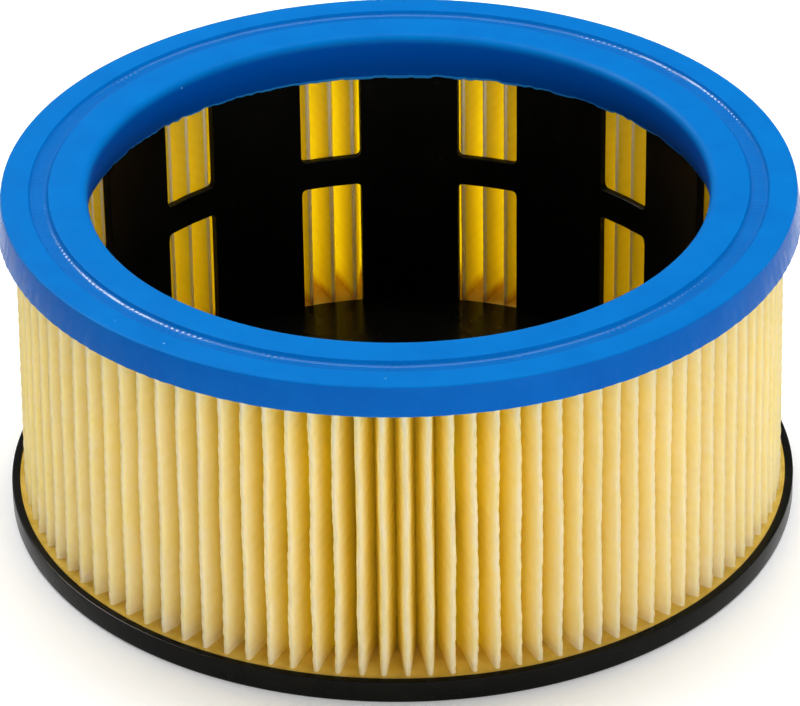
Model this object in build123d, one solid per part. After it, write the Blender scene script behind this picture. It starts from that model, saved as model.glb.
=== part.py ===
from build123d import *
from cmath import exp, phase
from math import asin, radians, sin, tan
import os

# Round pleated filter cartridge of a vacuum cleaner, standing on its base. Paper pleats surround a
# windowed cage. Adhesive cast into the base pan holds their feet, and a moulded foam ring holds
# their heads and seals against the machine. Millimetres, +Z up, origin at the centre of the
# underside. A turn is measured round +Z from the front (-Y) towards +X, in degrees.

# Whole cartridge
HEIGHT = 99.0
SEAL_RADIUS = 86.7  # the lip, the narrowest part of the top opening

# Radial build-up from the lip outwards
LIP_REACH = 3.4  # lip inwards of the cage
CAGE_WALL = 2.2
PAPER_GAP = 0.3  # cage to inner folds
PLEAT_DEPTH = 15.7
RIM_GAP = 1.8  # outer folds to the base rim
RIM_WALL = 2.4

# Seal ring
RING_WALL_HEIGHT = 8.6
RING_DRAFT = 10.5  # degrees, leaning in towards the top
RING_EDGE_RADIUS = 1.0
HEAD_COVER = 4.1  # foam above the heads of the paper and the cage
LIP_EDGE_RADIUS = 3.5
LIP_LENGTH = 5.0  # straight stretch of the lip
SKIRT_DROP = 5.4  # skirt below the underside of the ring
SKIRT_TIP = 1.0  # thickness of the skirt's lower edge
GROOVE_WIDTH = 5.6  # at the top face
GROOVE_FLOOR_WIDTH = 4.4
GROOVE_DEPTH = 1.6

# Pleated paper
PLEAT_COUNT = 98
PAPER_THICKNESS = 0.8  # over its embossing
PLEAT_CROWDING = 0.14  # share by which the pitch is tighter on the crowded side and wider opposite
CROWDED_TURN = 35.6
PAPER_FOOT = 1.0  # adhesive under the paper

# Support cage
WINDOW_COUNT = 12
WINDOW_WIDTH = 18.2
WINDOW_TURN = 12.9
WINDOW_CORNER_RADIUS = 1.5
LOWER_WINDOW_HEIGHT = 41.3
RIB_HEIGHT = 9.3

# Base pan and the adhesive in it
RIM_HEIGHT = 6.6
BASE_FLOOR = 2.0
BASE_WALL = 2.2  # between the trough and the recess underneath
BASE_CHAMFER = 0.8  # round the underside
POTTING_DROP = 0.5  # adhesive below the top of the rim

# Radii that follow
CAGE_INNER = SEAL_RADIUS + LIP_REACH
CAGE_OUTER = CAGE_INNER + CAGE_WALL
INNER_FOLDS = CAGE_OUTER + PAPER_GAP
OUTER_FOLDS = INNER_FOLDS + PLEAT_DEPTH
RIM_INNER = OUTER_FOLDS + RIM_GAP
OUTER_RADIUS = RIM_INNER + RIM_WALL

# Heights that follow
RING_UNDERSIDE = HEIGHT - RING_WALL_HEIGHT
HEADS = HEIGHT - HEAD_COVER
FEET = BASE_FLOOR + PAPER_FOOT
RIB_BOTTOM = RIM_HEIGHT + LOWER_WINDOW_HEIGHT
RIB_TOP = RIB_BOTTOM + RIB_HEIGHT
CUT_PAST = 1.0  # how far a cut runs past the edge it opens


def turned(corners):
    """Solid of revolution from corners ((radius, height), rounding)."""
    outline = [point for point, _ in corners]
    roundings = [rounding for _, rounding in corners]
    profile = make_face(FilletPolyline(outline, radius=roundings, close=True))
    return revolve(Plane.XZ * profile, Axis.Z)


def tube(inner, outer, bottom, top):
    """Plain round tube between two heights."""
    return Pos(0, 0, bottom) * extrude(Circle(outer) - Circle(inner), amount=top - bottom)


def creases():
    """Where the paper is creased, on outer and inner folds by turns, as complex numbers x + iy."""
    points = []
    for step in range(2 * PLEAT_COUNT):
        even_turn = radians(180 * step / PLEAT_COUNT)
        turn = radians(CROWDED_TURN) + even_turn - PLEAT_CROWDING * sin(even_turn)
        inner = INNER_FOLDS + PAPER_THICKNESS
        outer = OUTER_FOLDS - PAPER_THICKNESS
        radius = inner if step % 2 else outer
        points.append(-1j * radius * exp(1j * turn))
    return points


def tangents_meet(centre, first, second):
    """Where the tangents to a circle at two of its points meet."""
    a = first - centre
    b = second - centre
    return centre + (a + b) / (1 + (a * b.conjugate()).real / abs(a) ** 2)


def paper_face_outline(outwards):
    """Closed outline of the paper's outward or inward face. A fold's outside lies the paper's
    thickness from the crease, rounded on outer folds and pressed flat towards the cage on inner
    ones. Its inside is the sharp crease itself."""
    points = creases()
    count = len(points)
    sides = [-1 if step % 2 else 1 for step in range(count)]  # outer folds turn left, inner right
    radii = [PAPER_THICKNESS if outwards == (side > 0) else 0 for side in sides]
    leave = []
    arrive = []
    for step in range(count):
        following = (step + 1) % count
        reach = points[following] - points[step]
        lean = asin((radii[step] + radii[following]) / abs(reach))
        normal = 1j * exp(1j * (phase(reach) + sides[step] * lean))
        leave.append(points[step] - sides[step] * radii[step] * normal)
        arrive.append(points[following] + sides[step] * radii[following] * normal)
    noses = [p * (1 + side * PAPER_THICKNESS / abs(p)) for p, side in zip(points, sides)]
    if not outwards:
        for step in range(1, count, 2):
            arrive[step - 1] = tangents_meet(points[step], arrive[step - 1], noses[step])
            leave[step] = tangents_meet(points[step], noses[step], leave[step])
    edges = []
    for step in range(count):
        before, nose, after, onwards = [
            (p.real, p.imag) for p in (arrive[step - 1], noses[step], leave[step], arrive[step])
        ]
        if radii[step]:
            edges.append(ThreePointArc(before, nose, after) if outwards else Line(before, after))
        edges.append(Line(after, onwards))
    return Wire(edges)


def pleated_media():
    """One endless band of folded paper, potted at its feet and moulded in at its heads."""
    section = Face(paper_face_outline(True), [paper_face_outline(False)])
    return Pos(0, 0, FEET) * extrude(section, amount=HEADS - FEET)


def window(bottom, top, radii):
    """Cutter for the first window of a row, running outwards at the front of the cage."""
    half = WINDOW_WIDTH / 2
    corners = [(-half, bottom), (half, bottom), (half, top), (-half, top)]
    shape = make_face(FilletPolyline(corners, radius=radii, close=True))
    return extrude(Plane.XZ * shape, amount=CAGE_OUTER + CUT_PAST)


def support_cage():
    """Tube with two rows of windows, open-ended like a comb above and below the middle rib."""
    cage = tube(CAGE_INNER, CAGE_OUTER, RIM_HEIGHT, HEADS)
    corner = WINDOW_CORNER_RADIUS
    lower = window(RIM_HEIGHT - CUT_PAST, RIB_BOTTOM, (0, 0, corner, corner))
    upper = window(RIB_TOP, HEADS + CUT_PAST, (corner, corner, 0, 0))
    for place in range(WINDOW_COUNT):
        turn = Rot(0, 0, WINDOW_TURN + 360 * place / WINDOW_COUNT)
        cage -= [turn * lower, turn * upper]
    return cage


def top_seal_ring(media, cage):
    """Foam ring with a groove in its top, a sealing lip and a skirt that laps the cage inside."""
    top_radius = OUTER_RADIUS - RING_WALL_HEIGHT * tan(radians(RING_DRAFT))
    groove_middle = (INNER_FOLDS + OUTER_FOLDS) / 2
    groove_bottom = HEIGHT - GROOVE_DEPTH
    lip_bottom = HEIGHT - LIP_EDGE_RADIUS - LIP_LENGTH
    skirt_bottom = RING_UNDERSIDE - SKIRT_DROP
    corners = [
        ((OUTER_RADIUS, RING_UNDERSIDE), 0),
        ((top_radius, HEIGHT), RING_EDGE_RADIUS),
        ((groove_middle + GROOVE_WIDTH / 2, HEIGHT), 0),
        ((groove_middle + GROOVE_FLOOR_WIDTH / 2, groove_bottom), 0),
        ((groove_middle - GROOVE_FLOOR_WIDTH / 2, groove_bottom), 0),
        ((groove_middle - GROOVE_WIDTH / 2, HEIGHT), 0),
        ((SEAL_RADIUS, HEIGHT), LIP_EDGE_RADIUS),
        ((SEAL_RADIUS, lip_bottom), 0),
        ((CAGE_INNER - SKIRT_TIP, skirt_bottom), 0),
        ((CAGE_INNER, skirt_bottom), 0),
        ((CAGE_INNER, RING_UNDERSIDE), 0),
    ]
    return turned(corners) - media - cage


def base_pan():
    """Moulded end cap: a rim and trough round a raised floor, hollow underneath."""
    recess_top = RIM_HEIGHT - BASE_FLOOR
    recess_radius = CAGE_OUTER - BASE_WALL
    outline = [
        (0, recess_top),
        (recess_radius, recess_top),
        (recess_radius, 0),
        (OUTER_RADIUS - BASE_CHAMFER, 0),
        (OUTER_RADIUS, BASE_CHAMFER),
        (OUTER_RADIUS, RIM_HEIGHT),
        (RIM_INNER, RIM_HEIGHT),
        (RIM_INNER, BASE_FLOOR),
        (CAGE_OUTER, BASE_FLOOR),
        (CAGE_OUTER, RIM_HEIGHT),
        (0, RIM_HEIGHT),
    ]
    return turned([(point, 0) for point in outline])


def base_potting(media):
    """Ring of adhesive that fills the trough round the feet of the paper."""
    return tube(CAGE_OUTER, RIM_INNER, BASE_FLOOR, RIM_HEIGHT - POTTING_DROP) - media


media = pleated_media()
cage = support_cage()
pieces = {
    "top_seal_ring": top_seal_ring(media, cage),
    "pleated_media": media,
    "support_cage": cage,
    "base_pan": base_pan(),
    "base_potting": base_potting(media),
}
os.makedirs("parts", exist_ok=True)
for node, piece in pieces.items():
    export_step(piece, f"parts/{node}.step")
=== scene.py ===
from math import acos, atan, cos, pi, radians, sin, sqrt, tan

import bpy
import numpy as np
from mathutils import Matrix, Vector


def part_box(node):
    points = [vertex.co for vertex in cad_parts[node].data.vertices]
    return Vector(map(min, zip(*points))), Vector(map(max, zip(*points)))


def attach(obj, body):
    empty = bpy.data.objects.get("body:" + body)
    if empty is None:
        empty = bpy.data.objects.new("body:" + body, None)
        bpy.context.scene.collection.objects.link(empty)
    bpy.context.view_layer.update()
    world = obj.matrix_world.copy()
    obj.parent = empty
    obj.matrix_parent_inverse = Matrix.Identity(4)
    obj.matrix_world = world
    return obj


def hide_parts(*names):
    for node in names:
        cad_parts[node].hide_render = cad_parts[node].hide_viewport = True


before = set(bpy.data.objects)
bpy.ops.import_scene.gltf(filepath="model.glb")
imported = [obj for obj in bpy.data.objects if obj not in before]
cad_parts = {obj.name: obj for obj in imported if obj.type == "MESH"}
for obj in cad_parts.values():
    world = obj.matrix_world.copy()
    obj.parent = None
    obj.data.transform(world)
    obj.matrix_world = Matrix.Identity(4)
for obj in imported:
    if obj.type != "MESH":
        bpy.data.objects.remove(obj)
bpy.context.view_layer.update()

# Looks of a round pleated filter cartridge: foam seal ring, folded paper, cage, base pan, adhesive.
# Metres, in the frame of the solids. A turn is measured round +Z from the front (-Y) towards +X.

MM = 0.001
BODY = "root"

# Sizes read from the frame
ring_low, ring_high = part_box("top_seal_ring")
paper_low, paper_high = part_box("pleated_media")
cage_low, cage_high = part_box("support_cage")
base_low, base_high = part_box("base_pan")
potting_low, potting_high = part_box("base_potting")
TOP = ring_high.z
SKIRT_BOTTOM = ring_low.z
HEADS = paper_high.z
FEET = paper_low.z
CAGE_OUTER = cage_high.x
OUTER_RADIUS = base_high.x
RIM_TOP = base_high.z
RIM_INNER = potting_high.x
POTTING_TOP = potting_high.z
TROUGH_FLOOR = potting_low.z

# Radial build-up
SEAL_RADIUS = 86.7 * MM
CAGE_INNER = 90.1 * MM
INNER_FOLDS = 92.6 * MM
OUTER_FOLDS = 108.3 * MM

# Seal ring
RING_UNDERSIDE = TOP - 8.6 * MM
RING_DRAFT = radians(10.5)
RING_SEGMENTS = 1440
GROOVE_MIDDLE = (INNER_FOLDS + OUTER_FOLDS) / 2
GROOVE_WIDTH = 5.6 * MM
GROOVE_FLOOR_WIDTH = 4.4 * MM
GROOVE_DEPTH = 1.3 * MM
GROOVE_ROUNDING = 1.8 * MM
LIP_ROUNDING = 2.6 * MM
LIP_BOTTOM = TOP - 8.5 * MM
LIP_SWEEP = 18 * MM  # rounding from the lip into the skirt
SKIRT_TIP = 1.0 * MM  # thickness of the skirt's lower edge
RIPPLE_PITCH = 1.9 * MM
RIPPLE_HEIGHT = 0.07 * MM
SKIRT_FLASH = 0.22 * MM
SKIRT_EDGE = 2 * MM  # how far up the skirt its uneven lower edge fades out
SKIRT_SAG = 1.2 * MM  # how much lower the skirt hangs at the back
SAG_TURN = radians(28)
EDGE_HEIGHT = 0.8 * MM  # how far up the wall its uneven lower edge fades out
EDGE_FLASH = 0.06 * MM
NIB_COUNT = 12
NIB_DROP = 0.3 * MM

# Pleated paper
PLEAT_COUNT = 98
PLEAT_CROWDING = 0.14
CROWDED_TURN = radians(35.6)
FOLD_ROUNDING = 0.65 * MM  # outside of the inner folds
NOSE_RADIUS = 0.9 * MM  # outside of the outer folds
FLARE = 0.016  # outer folds stand out this much more, for each length downwards
FLARE_LEVEL = 50 * MM  # where they have their plain radius
EMBOSS_PITCH = 4.1 * MM
EMBOSS_HEIGHT = 0.16 * MM
NOSE_EMBOSS = 0.6  # how much of it shows on the outer folds
FOLD_EMBOSS = 0.3  # and on the inner ones
EMBOSS_ROWS = 4  # mesh rows for each wave of the embossing
NOSE_POINTS = 4
VALLEY_POINTS = 3  # the last point of a flank, the valley and the first point of the next flank
FLANK_SHARE = 0.6  # how far down a flank its own point lies
INNER_FOLD_POINTS = 3
WANDER = ((8 * MM, 0.04 * MM), (19 * MM, 0.07 * MM), (61 * MM, 0.16 * MM))  # wave length, height
INNER_WANDER = 0.2  # how much of it the inner folds have

# Support cage
WINDOW_COUNT = 12
WINDOW_WIDTH = 18.2 * MM
WINDOW_TURN = radians(12.9)
WINDOW_CORNER = 1.5 * MM
RIB_BOTTOM = 47.9 * MM
RIB_TOP = 57.2 * MM
POST_STEPS = 8  # mesh columns between two windows
CAGE_BEVEL = 0.3 * MM

# Base pan and adhesive
BASE_CHAMFER = 0.8 * MM
BASE_FLOOR = 2.0 * MM
BASE_WALL = 2.2 * MM
BASE_SEGMENTS = 720
POTTING_SEGMENTS = 16 * PLEAT_COUNT
MENISCUS_HEIGHT = 0.4 * MM
MENISCUS_REACH = 0.7 * MM

# Camera, a pinhole fitted to the outlines of the ring and the base
IMAGE_WIDTH = 800
IMAGE_HEIGHT = 706
FOCAL_PIXELS = 4836.0
SENSOR_WIDTH = 36.0
TARGET = Vector((0, 0, TOP / 2))
TARGET_PIXEL = (401.0, 331.5)
CAMERA_DISTANCE = 1374.1 * MM
CAMERA_ELEVATION = radians(30.843)
CAMERA_ROLL = radians(-0.740)

# Floor
FLOOR_REACH = 20.0
FLOOR_GLOW = 0.13  # lifts the floor to white where the camera sees it
GLOW_START = 0.6  # distance from the axis where the glow begins to rise, as the lamps fade
GLOW_END = 3.0  # and where it has risen to 1

draws = np.random.default_rng(98)


# Mesh helpers


def piece_from(mesh, name, node, crisp=35):
    """A closed mesh as a piece that stands for a node, smooth but for edges over crisp degrees."""
    mesh.update()
    mesh.shade_smooth()
    mesh.set_sharp_from_angle(angle=radians(crisp))
    piece = bpy.data.objects.new(name, mesh)
    bpy.context.scene.collection.objects.link(piece)
    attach(piece, BODY)
    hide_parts(node)
    return piece


def mesh_from(name, points, faces):
    """A mesh from an array of points and a list of faces."""
    mesh = bpy.data.meshes.new(name)
    mesh.from_pydata(points.tolist(), [], faces)
    return mesh


def grid_faces(rows, columns, first=0, close_rows=True, flip=False):
    """Quads of a grid of points that closes on itself along its rows, and across them if asked."""
    row, column = np.meshgrid(
        np.arange(rows if close_rows else rows - 1), np.arange(columns), indexing="ij"
    )
    up = (row + 1) % rows
    on = (column + 1) % columns
    quads = np.stack(
        [row * columns + column, row * columns + on, up * columns + on, up * columns + column], -1
    ).reshape(-1, 4)
    return (first + (quads[:, ::-1] if flip else quads)).tolist()


def rounded(corners, steps=5):
    """Points of a closed outline from corners (radius, height, rounding), with arcs for corners."""
    outline = []
    count = len(corners)
    for place, (x, z, rounding) in enumerate(corners):
        corner = Vector((x, z))
        if rounding == 0:
            outline.append(corner)
            continue
        before = (Vector(corners[place - 1][:2]) - corner).normalized()
        after = (Vector(corners[(place + 1) % count][:2]) - corner).normalized()
        half = acos(before.dot(after)) / 2
        centre = corner + (before + after).normalized() * rounding / sin(half)
        start = corner + before * rounding / tan(half) - centre
        end = corner + after * rounding / tan(half) - centre
        for step in range(steps + 1):
            outline.append(centre + start.slerp(end, step / steps) * rounding)
    return np.array(outline)


def turned(outline, segments):
    """Radius, turn and height grids (outline points x segments) of an outline turned round +Z."""
    turn = np.tile(np.linspace(0, 2 * pi, segments, endpoint=False), (len(outline), 1))
    radius, height = (np.repeat(outline[:, [way]], segments, 1) for way in (0, 1))
    return radius, turn, height


def placed(radius, turn, height):
    """Cartesian points of cylindrical ones, one a row."""
    return np.stack([radius * np.sin(turn), -radius * np.cos(turn), height], -1).reshape(-1, 3)


def uneven(turn, count, low, high):
    """Smooth seeded unevenness round the axis, about 1 high: count sines of low to high waves."""
    total = np.zeros_like(turn)
    for _ in range(count):
        total += np.sin(draws.integers(low, high) * turn + draws.uniform(0, 2 * pi))
    return total / sqrt(count / 2)


# Pieces


def seal_ring():
    """Foam ring: glossy rippled groove, soft lip, and flash on the skirt and the lower edge."""
    top_radius = OUTER_RADIUS - (TOP - RING_UNDERSIDE) * tan(RING_DRAFT)
    groove_bottom = TOP - GROOVE_DEPTH
    corners = [
        (OUTER_RADIUS, RING_UNDERSIDE, 0.35 * MM),
        (top_radius, TOP, 0.5 * MM),
        (GROOVE_MIDDLE + GROOVE_WIDTH / 2, TOP, 0.2 * MM),
        (GROOVE_MIDDLE + GROOVE_FLOOR_WIDTH / 2, groove_bottom, GROOVE_ROUNDING),
        (GROOVE_MIDDLE - GROOVE_FLOOR_WIDTH / 2, groove_bottom, GROOVE_ROUNDING),
        (GROOVE_MIDDLE - GROOVE_WIDTH / 2, TOP, 0.2 * MM),
        (SEAL_RADIUS, TOP, LIP_ROUNDING),
        (SEAL_RADIUS, LIP_BOTTOM, LIP_SWEEP),
        (CAGE_INNER - 1.3 * SKIRT_TIP, SKIRT_BOTTOM + 0.7 * SKIRT_TIP, 0),
        (CAGE_INNER - SKIRT_TIP, SKIRT_BOTTOM, 0.3 * MM),
        (CAGE_INNER, SKIRT_BOTTOM, 0.2 * MM),
        (CAGE_INNER, RING_UNDERSIDE, 0),
    ]
    outline = rounded(corners)
    radius, turn, height = turned(outline, RING_SEGMENTS)
    floor = np.abs(radius - GROOVE_MIDDLE) < GROOVE_WIDTH / 2
    floor &= height < groove_bottom + 0.8 * MM
    ripples = round(2 * pi * GROOVE_MIDDLE / RIPPLE_PITCH)
    swell = 0.6 + 0.4 * uneven(turn, 5, 3, 40)
    height += floor * RIPPLE_HEIGHT * swell * (np.sin(ripples * turn) - 1)
    skirt_edge = np.clip((SKIRT_BOTTOM + SKIRT_EDGE - height) / SKIRT_EDGE, 0, 1)
    flash = np.clip(uneven(turn, 12, 5, 70) + 0.5 * uneven(turn, 9, 60, 240), -0.8, 2)
    sag = SKIRT_SAG * np.exp(-(((turn - pi) / SAG_TURN) ** 2))
    height += skirt_edge * (SKIRT_FLASH * flash - sag)
    lower_edge = np.clip((RING_UNDERSIDE + EDGE_HEIGHT - height) / EDGE_HEIGHT, 0, 1)
    lower_edge *= radius > OUTER_FOLDS
    radius += lower_edge * EDGE_FLASH * (uneven(turn, 16, 30, 200) - 2)
    for _ in range(NIB_COUNT):
        width = draws.uniform(0.5, 1.4) * MM / OUTER_RADIUS
        apart = (turn - draws.uniform(0, 2 * pi) + pi) % (2 * pi) - pi
        height -= lower_edge * draws.uniform(0.2, 1) * NIB_DROP * np.exp(-((apart / width) ** 2))
    mesh = mesh_from("seal_ring", placed(radius, turn, height), grid_faces(*radius.shape))
    # Deeper blue for the ring's inner wall: painted shade.
    inside = colour(0, 82, 180)
    # Pale blue for the skirt's tip and the wall's lower rim: thin flash there, painted paler as a
    # highlight line.
    painted_edge_highlight = colour(40, 145, 228)
    # The wall and groove finishes are darker blue than the top's: painted shade on the outer wall and
    # in the groove.
    finishes = [
        foam_blue("seal_foam", 0.02, 0.42, colour(0, 103, 181), colour(0, 110, 188), inside),
        foam_blue("seal_foam_wall_painted_shade", 0.05, 0.26, colour(0, 87, 172), colour(0, 94, 179), inside),
        foam_blue("seal_foam_groove_painted_shade", 0.12, 0.2, colour(0, 97, 175), colour(0, 104, 182), inside),
        foam_blue("seal_foam_flash_painted_highlight", 0.1, 0.4, colour(40, 150, 215), colour(90, 190, 238), painted_edge_highlight),
    ]
    for finish in finishes:
        mesh.materials.append(finish)
    # Each row of faces has the finish of its place on the outline
    middle_radius, middle_height = ((outline + np.roll(outline, -1, 0)) / 2).T
    grooved = np.abs(middle_radius - GROOVE_MIDDLE) < GROOVE_WIDTH / 2
    grooved &= middle_height < TOP - 0.6 * MM
    # The skirt tip and the lower rim get the pale finish: a painted highlight along these edges.
    skirt_tip = middle_radius < CAGE_INNER - SKIRT_TIP / 2
    skirt_tip &= middle_height < SKIRT_BOTTOM + 0.6 * MM
    outermost = middle_radius > OUTER_FOLDS
    wall = outermost & (middle_height < TOP - 0.4 * MM)
    rim = outermost & (middle_height < RING_UNDERSIDE + 0.2 * MM)
    kinds = np.select([skirt_tip | rim, wall, grooved], [3, 1, 2], 0)
    mesh.polygons.foreach_set("material_index", np.repeat(kinds, RING_SEGMENTS).astype(np.int32))
    return piece_from(mesh, "seal_ring", "top_seal_ring")


fold_phases = draws.uniform(0, 2 * pi, (len(WANDER), 2 * PLEAT_COUNT))
fold_stretches = draws.uniform(0.85, 1.2, (len(WANDER), 2 * PLEAT_COUNT))


def creases(heights):
    """Crease places as complex x + iy (rows x folds), outer and inner by turns, wandering upwards."""
    fold = np.arange(2 * PLEAT_COUNT)
    even_turn = fold * pi / PLEAT_COUNT
    turn = CROWDED_TURN + even_turn - PLEAT_CROWDING * np.sin(even_turn)
    level = heights[:, None]
    outer = OUTER_FOLDS - NOSE_RADIUS + FLARE * (FLARE_LEVEL - level)
    radius = np.where(fold % 2, INNER_FOLDS + FOLD_ROUNDING, outer)
    drift = np.zeros(radius.shape)
    for (length, depth), phase, stretch in zip(WANDER, fold_phases, fold_stretches):
        drift += depth * np.sin(2 * pi * level / (length * stretch) + phase)
    drift *= np.where(fold % 2, INNER_WANDER, 1)
    return -1j * radius * np.exp(1j * (turn + drift / radius))


def flanks(points, rounding, facing):
    """Normals (rows x flanks, complex) of the flanks that leave each crease, on the face that has its
    round folds where facing is 1 (outer folds) or -1 (inner ones)."""
    side = np.where(np.arange(points.shape[1]) % 2, -1, 1)
    reach = np.roll(points, -1, 1) - points
    lean = np.arcsin(rounding / np.abs(reach))
    return -1j * facing * np.exp(1j * (np.angle(reach) + side * lean))


def round_fold(crease, first, last, rounding, count):
    """Points and normals of a fold's outside, an arc about the crease from one flank to the next."""
    sweep = np.angle(last / first)
    rays = [first * np.exp(1j * sweep * share) for share in np.linspace(0, 1, count)]
    return [crease + rounding * ray for ray in rays], rays


def outer_face(points):
    """Points and normals (rows x columns, complex) of the paper's outward face."""
    normal = flanks(points, NOSE_RADIUS, 1)
    columns = []
    normals = []
    for fold in range(0, points.shape[1], 2):
        nose, rays = round_fold(
            points[:, fold], normal[:, fold - 1], normal[:, fold], NOSE_RADIUS, NOSE_POINTS
        )
        valley = points[:, fold + 1]
        next_nose = points[:, (fold + 2) % points.shape[1]] + NOSE_RADIUS * normal[:, fold + 1]
        near = nose[-1] + FLANK_SHARE * (valley - nose[-1])
        far = next_nose + FLANK_SHARE * (valley - next_nose)
        columns += nose + [near, valley, far]
        normals += [NOSE_EMBOSS * ray for ray in rays]
        normals += [normal[:, fold], valley / np.abs(valley), normal[:, fold + 1]]
    return np.stack(columns, 1), np.stack(normals, 1)


def inner_face(points):
    """Points and normals (rows x columns, complex) of the paper's inward face."""
    normal = flanks(points, FOLD_ROUNDING, -1)
    columns = []
    normals = []
    for fold in range(0, points.shape[1], 2):
        crease = points[:, fold]
        arc, rays = round_fold(
            points[:, fold + 1], normal[:, fold], normal[:, fold + 1], FOLD_ROUNDING, INNER_FOLD_POINTS
        )
        columns += [crease] + arc
        normals += [-crease / np.abs(crease)] + [FOLD_EMBOSS * ray for ray in rays]
    return np.stack(columns, 1), np.stack(normals, 1)


def raised(outline, heights):
    """Points of complex outlines (rows x columns) at their heights, one a row."""
    level = np.repeat(heights[:, None], outline.shape[1], 1)
    return np.stack([outline.real, outline.imag, level], -1).reshape(-1, 3)


def end_faces(outside, inside, flip):
    """Faces that close one end of the paper, from the first points outside and inside it there."""
    out_columns = NOSE_POINTS + VALLEY_POINTS
    in_columns = 1 + INNER_FOLD_POINTS
    faces = []
    for pleat in range(PLEAT_COUNT):
        following = (pleat + 1) % PLEAT_COUNT
        out = [outside + pleat * out_columns + step for step in range(out_columns)]
        nose = out[:NOSE_POINTS]
        near, valley, far = out[NOSE_POINTS:]
        next_nose = outside + following * out_columns
        crease, *fold = [inside + pleat * in_columns + step for step in range(in_columns)]
        next_crease = inside + following * in_columns
        faces += [[a, b, crease] for a, b in zip(nose, nose[1:])]
        faces.append([nose[-1], near, valley, fold[0], crease])
        faces += [[valley, b, a] for a, b in zip(fold, fold[1:])]
        faces.append([valley, far, next_nose, next_crease, fold[-1]])
    return [face[::-1] for face in faces] if flip else faces


def filter_paper():
    """Endless band of embossed paper: round noses that wander a little, flanks and sharp valleys."""
    bottom = POTTING_TOP - 0.5 * MM
    step = EMBOSS_PITCH / EMBOSS_ROWS
    seen = np.arange(bottom, RING_UNDERSIDE + step, step)
    heights = np.concatenate([[FEET], seen, [HEADS]])
    wave = np.sin(2 * pi * heights / EMBOSS_PITCH)[:, None]
    points = creases(heights)
    outline, normal = outer_face(points)
    outer = raised(outline + normal * EMBOSS_HEIGHT * (wave - 1), heights)
    inside_outline, inside_normal = inner_face(points)
    inner = raised(inside_outline + inside_normal * EMBOSS_HEIGHT * (-wave - 1), heights)
    rows, columns = outline.shape
    inside_columns = inside_outline.shape[1]
    faces = grid_faces(rows, columns, close_rows=False)
    faces += grid_faces(rows, inside_columns, len(outer), close_rows=False, flip=True)
    faces += end_faces(0, len(outer), flip=True)
    faces += end_faces(len(outer) - columns, len(outer) + len(inner) - inside_columns, flip=False)
    mesh = mesh_from("filter_paper", np.concatenate([outer, inner]), faces)
    inside = np.arange(len(mesh.polygons)) >= (rows - 1) * columns
    mesh.materials.append(paper_outside())
    mesh.materials.append(paper_inside())
    mesh.polygons.foreach_set("material_index", inside.astype(np.int32))
    return piece_from(mesh, "filter_paper", "pleated_media", crisp=75)


def window_offsets():
    """How far a window's columns of points lie from its middle, closer together at its corners."""
    half = WINDOW_WIDTH / 2
    bend = [WINDOW_CORNER * (1 - cos(angle)) for angle in np.linspace(0, pi / 2, 5)]
    return [-half + b for b in bend] + [0] + [half - b for b in reversed(bend)]


def support_cage():
    """Tube with two rows of windows, open like a comb above and below the middle rib."""
    offsets = window_offsets()
    half = WINDOW_WIDTH / 2
    points = []
    faces = []
    rings = []  # per column: lists of point numbers, inner then outer, at the column's heights

    def column(turns, heights):
        """Adds a column of points at each face of the cage."""
        numbers = []
        for radius, turn in zip((CAGE_INNER, CAGE_OUTER), turns):
            row = []
            for height in heights:
                row.append(len(points))
                points.append((radius * sin(turn), -radius * cos(turn), height))
            numbers.append(row)
        rings.append(numbers)

    post_heights = [RIM_TOP, RIB_BOTTOM - WINDOW_CORNER, RIB_TOP + WINDOW_CORNER, HEADS]
    for place in range(WINDOW_COUNT):
        middle = WINDOW_TURN + 2 * pi * place / WINDOW_COUNT
        edge = [np.arcsin(half / radius) for radius in (CAGE_INNER, CAGE_OUTER)]
        for offset in offsets:
            turns = [middle + np.arcsin(offset / radius) for radius in (CAGE_INNER, CAGE_OUTER)]
            gap = max(0.0, WINDOW_CORNER - (half - abs(offset)))
            lift = WINDOW_CORNER - sqrt(WINDOW_CORNER**2 - gap**2)
            if abs(offset) == half:
                column(turns, post_heights)
            else:
                column(turns, [RIB_BOTTOM - lift, RIB_TOP + lift])
        for step in range(1, POST_STEPS):
            turns = [
                middle + e + (2 * pi / WINDOW_COUNT - 2 * e) * step / POST_STEPS for e in edge
            ]
            column(turns, post_heights)
    count = len(rings)
    for place in range(count):
        a = rings[place]
        b = rings[(place + 1) % count]
        short = len(a[0]) == 2 or len(b[0]) == 2
        a_rows = a if len(a[0]) == 2 or not short else [row[1:3] for row in a]
        b_rows = b if len(b[0]) == 2 or not short else [row[1:3] for row in b]
        for low in range(len(a_rows[0]) - 1):
            inner = [a_rows[0][low], b_rows[0][low], b_rows[0][low + 1], a_rows[0][low + 1]]
            outer = [a_rows[1][low], b_rows[1][low], b_rows[1][low + 1], a_rows[1][low + 1]]
            faces += [inner[::-1], outer]
        faces.append([a_rows[0][0], b_rows[0][0], b_rows[1][0], a_rows[1][0]])
        faces.append([a_rows[0][-1], a_rows[1][-1], b_rows[1][-1], b_rows[0][-1]])
        starts_window = short and len(a[0]) == 4
        ends_window = short and len(b[0]) == 4
        for rows, flip in ((a, True),) * starts_window + ((b, False),) * ends_window:
            for low in (0, 2):
                wall = [rows[0][low], rows[1][low], rows[1][low + 1], rows[0][low + 1]]
                faces.append(wall[::-1] if flip else wall)
    mesh = mesh_from("support_cage", np.array(points), faces)
    piece = piece_from(mesh, "inner_cage", "support_cage")
    bevel = piece.modifiers.new("edges", "BEVEL")
    bevel.width = CAGE_BEVEL
    bevel.segments = 2
    bevel.limit_method = "ANGLE"
    bevel.angle_limit = radians(45)
    bevel.harden_normals = True
    return piece


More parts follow.
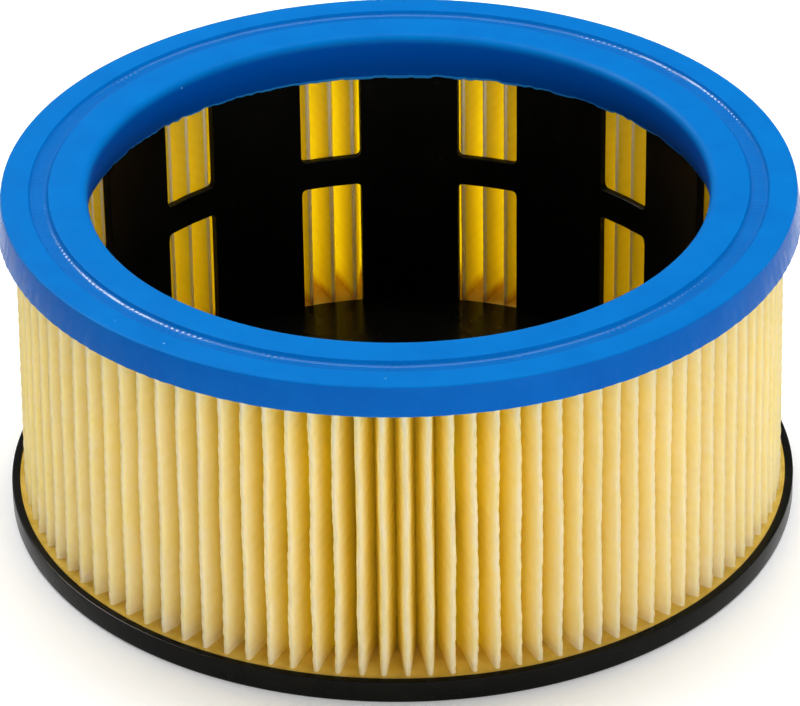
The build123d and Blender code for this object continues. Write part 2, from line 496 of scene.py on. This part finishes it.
def base_pan():
    """Moulded end cap: a rim and trough round a raised floor, hollow underneath."""
    recess_top = RIM_TOP - BASE_FLOOR
    recess_radius = CAGE_OUTER - BASE_WALL
    centre = 0.5 * MM
    corners = [
        (centre, recess_top, 0),
        (recess_radius, recess_top, 0.8 * MM),
        (recess_radius, 0, 0.3 * MM),
        (OUTER_RADIUS, 0, BASE_CHAMFER),
        (OUTER_RADIUS, RIM_TOP, 0.4 * MM),
        (RIM_INNER, RIM_TOP, 0.4 * MM),
        (RIM_INNER, TROUGH_FLOOR, 0.3 * MM),
        (CAGE_OUTER, TROUGH_FLOOR, 0.3 * MM),
        (CAGE_OUTER, RIM_TOP, 0.3 * MM),
        (centre, RIM_TOP, 0),
    ]
    radius, turn, height = turned(rounded(corners), BASE_SEGMENTS)
    rows, columns = radius.shape
    faces = grid_faces(rows, columns, close_rows=False)
    faces.append(list(range(columns))[::-1])
    faces.append(list(range((rows - 1) * columns, rows * columns)))
    mesh = mesh_from("base_pan", placed(radius, turn, height), faces)
    return piece_from(mesh, "end_pan", "base_pan")


def paper_distance(points):
    """Distance of points (complex) from the paper's middle plane near the adhesive."""
    folds = creases(np.array([POTTING_TOP]))[0]
    near = np.full(points.shape, 1.0)
    for start, end in zip(folds, np.roll(folds, -1)):
        along = end - start
        share = np.clip(((points - start) * along.conjugate()).real / abs(along) ** 2, 0, 1)
        near = np.minimum(near, np.abs(points - start - share * along))
    return near


def potting():
    """Adhesive round the feet of the paper, drawn up a little on the paper and the rim."""
    across = np.linspace(CAGE_OUTER, RIM_INNER, 30)[::-1]
    top = np.stack([across, np.full_like(across, POTTING_TOP)], -1)
    bottom = np.array([[CAGE_OUTER, TROUGH_FLOOR], [RIM_INNER, TROUGH_FLOOR]])
    radius, turn, height = turned(np.concatenate([top, bottom]), POTTING_SEGMENTS)
    surface = slice(0, len(top))
    place = -1j * radius[surface] * np.exp(1j * turn[surface])
    gap = np.minimum(paper_distance(place), np.abs(RIM_INNER - radius[surface]))
    height[surface] += MENISCUS_HEIGHT * np.exp(-gap / MENISCUS_REACH)
    mesh = mesh_from("potting", placed(radius, turn, height), grid_faces(*radius.shape))
    return piece_from(mesh, "potting", "base_potting")


# Materials


class Shading:
    """A material whose surface is one Principled shader, and short ways to add nodes to it."""

    def __init__(self, name, **values):
        self.material = bpy.data.materials.new(name)
        self.material.use_nodes = True
        self.tree = self.material.node_tree
        self.surface = self.tree.nodes["Principled BSDF"]
        self.place = self.add("ShaderNodeTexCoord").outputs["Object"]
        for socket, value in values.items():
            self.surface.inputs[socket.replace("_", " ")].default_value = value

    def add(self, kind, inputs=None, **settings):
        """A node with settings, its inputs linked to sockets or set to values."""
        made = self.tree.nodes.new(kind)
        for name, value in settings.items():
            setattr(made, name, value)
        for name, value in (inputs or {}).items():
            self.feed(made.inputs[name], value)
        return made

    def feed(self, socket, value):
        """Links a socket to another one, or sets its value."""
        if isinstance(value, bpy.types.NodeSocket):
            self.tree.links.new(value, socket)
        else:
            socket.default_value = value

    def noise(self, scale, detail=3.0, stretch=(1, 1, 1)):
        """Noise of about 1 / scale metres, from 0 to 1."""
        place = self.add("ShaderNodeVectorMath", {0: self.place, 1: stretch}, operation="MULTIPLY")
        inputs = {"Vector": place.outputs[0], "Scale": scale, "Detail": detail}
        return self.add("ShaderNodeTexNoise", inputs).outputs["Fac"]

    def cells(self, scale):
        """Distance from the nearest of scattered points, about 1 / scale metres apart."""
        inputs = {"Vector": self.place, "Scale": scale}
        return self.add("ShaderNodeTexVoronoi", inputs).outputs["Distance"]

    def spread(self, value, low, high, to_low=0.0, to_high=1.0):
        """Maps low to high of a value onto another range, held at its ends."""
        inputs = {"Value": value, "From Min": low, "From Max": high}
        inputs |= {"To Min": to_low, "To Max": to_high}
        return self.add("ShaderNodeMapRange", inputs).outputs["Result"]

    def sum(self, first, second, operation="ADD"):
        """Arithmetic on two values."""
        return self.add("ShaderNodeMath", {0: first, 1: second}, operation=operation).outputs[0]

    def blend(self, share, first, second):
        """Mixes two colours."""
        mixer = self.add("ShaderNodeMix", data_type="RGBA")
        for name, value in (("Factor_Float", share), ("A_Color", first), ("B_Color", second)):
            socket = next(s for s in mixer.inputs if s.identifier == name)
            self.feed(socket, value)
        return next(s for s in mixer.outputs if s.identifier == "Result_Color")

    def radius(self):
        """Distance from the axis."""
        flat = self.add("ShaderNodeVectorMath", {0: self.place, 1: (1, 1, 0)}, operation="MULTIPLY")
        length = self.add("ShaderNodeVectorMath", {0: flat.outputs[0]}, operation="LENGTH")
        return length.outputs["Value"]

    def height(self):
        """Height above the floor."""
        return self.add("ShaderNodeSeparateXYZ", {0: self.place}).outputs["Z"]

    def bump(self, value, distance, strength=1.0):
        """Normals for a relief of the given depth."""
        inputs = {"Height": value, "Distance": distance, "Strength": strength}
        return self.add("ShaderNodeBump", inputs).outputs["Normal"]

    def set(self, **links):
        """Feeds the surface's sockets."""
        for socket, value in links.items():
            self.feed(self.surface.inputs[socket.replace("_", " ")], value)


def colour(red, green, blue):
    """Linear colour of an 8-bit screen colour."""
    shares = [c / 255 for c in (red, green, blue)]
    return [s / 12.92 if s <= 0.04045 else ((s + 0.055) / 1.055) ** 2.4 for s in shares] + [1.0]


def foam_blue(name, shine, rough, dark, pale, inside):
    """Satin skin of moulded foam: mottled from dark to pale, a deeper blue down the ring's inner wall
    as painted shade, fine grain, a few pinholes painted darker as shade in them, and pale specks."""
    look = Shading(name, Specular_IOR_Level=shine)
    mottle = look.noise(70, 4)
    base = look.blend(look.spread(mottle, 0.3, 0.7), dark, pale)
    # Deeper blue down the inner wall below the lip: painted shade.
    inner_wall_shade = look.spread(look.height(), TOP - 1.2 * MM, TOP - 3 * MM)
    within = look.spread(look.radius(), CAGE_INNER + 1 * MM, CAGE_INNER + 2 * MM, 1, 0)
    base = look.blend(look.sum(inner_wall_shade, within, "MULTIPLY"), base, inside)
    pits = look.spread(look.cells(260), 0.03, 0.07, 1, 0)
    pits = look.sum(pits, look.spread(look.noise(45, 2), 0.58, 0.66), "MULTIPLY")
    # The pinholes are painted darker blue: painted shade in the pits.
    base = look.blend(look.sum(pits, 0.6, "MULTIPLY"), base, colour(2, 62, 140))
    specks = look.spread(look.cells(120), 0.03, 0.05, 1, 0)
    specks = look.sum(specks, look.spread(look.noise(60, 2), 0.56, 0.6), "MULTIPLY")
    base = look.blend(look.sum(specks, 0.6, "MULTIPLY"), base, colour(120, 190, 235))
    grain = look.noise(1900, 3)
    relief = look.sum(look.sum(grain, 0.3, "MULTIPLY"), pits, "SUBTRACT")
    look.set(
        Base_Color=base,
        Roughness=look.spread(look.noise(160, 3), 0.3, 0.7, rough - 0.05, rough + 0.05),
        Normal=look.bump(relief, 0.05 * MM, 0.5),
    )
    return look.material


def sheet_of_paper(look, base, yellow, share, normal):
    """Finishes a paper material: a share of the light goes through, and comes out of the far face."""
    look.set(Base_Color=base, Normal=normal)
    through = look.add("ShaderNodeBsdfTranslucent", {"Color": yellow})
    shown = look.surface.outputs[0]
    sheet = look.add("ShaderNodeMixShader", {0: share, 1: shown, 2: through.outputs[0]})
    behind = look.add("ShaderNodeNewGeometry").outputs["Backfacing"]
    clear = look.add("ShaderNodeBsdfTransparent")
    whole = look.add("ShaderNodeMixShader", {0: behind, 1: sheet.outputs[0], 2: clear.outputs[0]})
    look.feed(look.tree.nodes["Material Output"].inputs["Surface"], whole.outputs[0])
    return look.material


def foot_stain(look):
    """Share of adhesive drawn up into the paper's feet, ragged at its upper edge."""
    ragged = look.sum(look.noise(220, 3), 5 * MM, "MULTIPLY")
    level = look.sum(look.height(), ragged, "SUBTRACT")
    return look.spread(level, POTTING_TOP - 2 * MM, POTTING_TOP + 1.5 * MM, 0.7, 0)


def paper_outside():
    """Cream paper with fibres, with painted light: paler along the noses as a painted highlight, and
    yellower with depth as painted shade.
    """
    look = Shading("filter_paper", Roughness=0.85, Specular_IOR_Level=0.15)
    fibres = look.noise(900, 4, (1, 1, 0.35))
    # Paler towards the noses and yellower deeper in the valleys: painted highlight and painted shade.
    nose = look.spread(look.radius(), OUTER_FOLDS - 10 * MM, OUTER_FOLDS - 0.5 * MM)
    cream = look.blend(nose, colour(254, 232, 84), colour(251, 247, 224))
    mottle = look.spread(look.noise(120, 3), 0.35, 0.7, 0, 0.3)
    cream = look.blend(mottle, cream, colour(247, 232, 130))
    cream = look.blend(look.spread(fibres, 0.4, 0.75, 0, 0.3), cream, colour(241, 224, 120))
    yellow = colour(255, 242, 36)
    return sheet_of_paper(look, cream, yellow, 0.45, look.bump(fibres, 0.06 * MM, 0.5))


def paper_inside():
    """The same paper seen from the cage: yellow with light from behind, painted into a saturated
    yellow base colour as well as let through, with painted highlights along the folds and painted
    shade in bands along the embossing.
    """
    look = Shading("filter_paper_inside", Roughness=0.85, Specular_IOR_Level=0.1)
    fibres = look.noise(900, 4, (1, 1, 0.35))
    # Paler along the inner folds: painted highlight where the folds catch the light.
    fold = look.spread(look.radius(), INNER_FOLDS + 0.4 * MM, INNER_FOLDS + 0.7 * MM, 1, 0)
    # Darker bands that follow the embossed waves: painted shade of the relief.
    wave = look.sum(look.height(), 2 * pi / EMBOSS_PITCH, "MULTIPLY")
    wave = look.add("ShaderNodeMath", {0: wave}, operation="SINE").outputs[0]
    emboss_painted_shade = look.spread(wave, -1, 1, 0, 0.35)
    # The base is a saturated yellow: painted light, for the glow that comes through the paper from
    # behind.
    yellow = look.blend(emboss_painted_shade, colour(253, 228, 96), colour(242, 206, 70))
    base = look.blend(fold, yellow, colour(250, 240, 214))
    stain = foot_stain(look)
    base = look.blend(stain, base, colour(170, 96, 8))
    through = look.blend(stain, colour(255, 232, 16), colour(180, 96, 4))
    share = look.spread(fold, 0, 1, 0.6, 0.2)
    return sheet_of_paper(look, base, through, share, look.bump(fibres, 0.06 * MM, 0.5))


def black_plastic(name, dark, pale, rough, shine):
    """Moulded black plastic: faint cloudiness, fine grain and a trace of dust."""
    look = Shading(name, Specular_IOR_Level=shine)
    cloud = look.noise(60, 4)
    dust = look.spread(look.noise(700, 5), 0.62, 0.8, 0, 0.35)
    base = look.blend(look.spread(cloud, 0.3, 0.7), dark, pale)
    base = look.blend(dust, base, colour(60, 60, 56))
    look.set(
        Base_Color=base,
        Roughness=look.spread(cloud, 0.3, 0.7, rough - 0.05, rough + 0.05),
        Normal=look.bump(look.noise(1400, 3), 0.03 * MM, 0.4),
    )
    return look.material


def amber_adhesive():
    """Glossy cast adhesive, amber with paler and darker clouds."""
    look = Shading("potting_adhesive", Roughness=0.22, Specular_IOR_Level=0.5)
    cloud = look.noise(180, 4)
    base = look.blend(look.spread(cloud, 0.3, 0.7), colour(210, 174, 64), colour(234, 202, 98))
    look.set(Base_Color=base, Normal=look.bump(look.noise(330, 3), 0.2 * MM, 0.5))
    return look.material


# Stage


def softbox(name, place, size, power):
    """The object of a rectangular lamp at a place, facing the target."""
    lamp = bpy.data.lights.new(name, "AREA")
    lamp.shape = "RECTANGLE"
    lamp.size, lamp.size_y = size
    lamp.energy = power
    holder = bpy.data.objects.new(name, lamp)
    holder.location = place
    holder.rotation_euler = (TARGET - Vector(place)).to_track_quat("-Z", "Y").to_euler()
    bpy.context.scene.collection.objects.link(holder)
    return holder


def white_floor():
    """Wide white floor that shows white to the camera and keeps the object's shadow."""
    corners = FLOOR_REACH * np.array([(-1, -1, 0), (1, -1, 0), (1, 1, 0), (-1, 1, 0)])
    mesh = mesh_from("floor", corners, [[0, 1, 2, 3]])
    floor = bpy.data.objects.new("floor", mesh)
    bpy.context.scene.collection.objects.link(floor)
    look = Shading("floor_white", Roughness=0.9, Specular_IOR_Level=0.0)
    light = look.add("ShaderNodeLightPath").outputs
    seen = look.sum(light["Is Camera Ray"], light["Is Glossy Ray"])
    seen = look.sum(seen, light["Is Transmission Ray"])
    glow = look.spread(look.radius(), GLOW_START, GLOW_END, FLOOR_GLOW, 1)
    look.set(
        Base_Color=colour(252, 252, 252),
        Emission_Color=(1.0, 1.0, 1.0, 1.0),
        Emission_Strength=look.sum(seen, glow, "MULTIPLY"),
    )
    mesh.materials.append(look.material)


def studio_world(strength):
    """Even pale light from all round."""
    world = bpy.data.worlds.new("studio")
    world.use_nodes = True
    background = world.node_tree.nodes["Background"]
    background.inputs["Color"].default_value = (1, 1, 1, 1)
    background.inputs["Strength"].default_value = strength
    bpy.context.scene.world = world


def photo_camera():
    """Camera that shows the target at its pixel of the image, as the photograph does."""
    lens = bpy.data.cameras.new("camera")
    lens.sensor_width = SENSOR_WIDTH
    lens.lens = SENSOR_WIDTH * FOCAL_PIXELS / IMAGE_WIDTH
    camera = bpy.data.objects.new("camera", lens)
    bpy.context.scene.collection.objects.link(camera)
    back = Vector((0, -cos(CAMERA_ELEVATION), sin(CAMERA_ELEVATION)))
    across = (TARGET_PIXEL[0] - IMAGE_WIDTH / 2) / FOCAL_PIXELS
    down = (TARGET_PIXEL[1] - IMAGE_HEIGHT / 2) / FOCAL_PIXELS
    look = (-back).to_track_quat("-Z", "Y").to_matrix()
    look = look @ Matrix.Rotation(atan(across), 3, "Y") @ Matrix.Rotation(atan(down), 3, "X")
    camera.matrix_world = Matrix.Translation(TARGET + back * CAMERA_DISTANCE) @ (
        look @ Matrix.Rotation(CAMERA_ROLL, 3, "Z")
    ).to_4x4()
    bpy.context.scene.camera = camera


seal_ring()
filter_paper()
support_cage().data.materials.append(
    black_plastic("cage_plastic", colour(6, 6, 5), colour(10, 10, 8), 0.35, 0.12)
)
base_pan().data.materials.append(
    black_plastic("base_plastic", colour(8, 8, 6), colour(14, 14, 11), 0.28, 0.08)
)
potting().data.materials.append(amber_adhesive())

white_floor()
studio_world(0.22)
softbox("overhead", (0, 0.45, 1.6), (2.0, 1.1), 35)
softbox("right_front", (1.1, -1.3, 0.45), (1.2, 0.8), 8.5)
softbox("front", (0.1, -2.0, 0.5), (1.4, 0.7), 10.5)
softbox("left_front", (-0.9, -1.5, 0.45), (1.0, 0.8), 1.6)
softbox("gloss_panel", (-0.88, 0.64, 1.17), (0.7, 0.5), 44).visible_diffuse = False
softbox("back_left", (-0.8, 1.5, 0.35), (1.8, 1.0), 8).visible_glossy = False
softbox("back_right", (0.9, 1.5, 0.3), (1.6, 0.9), 4).visible_glossy = False
photo_camera()
bpy.context.scene.view_settings.view_transform = "Standard"
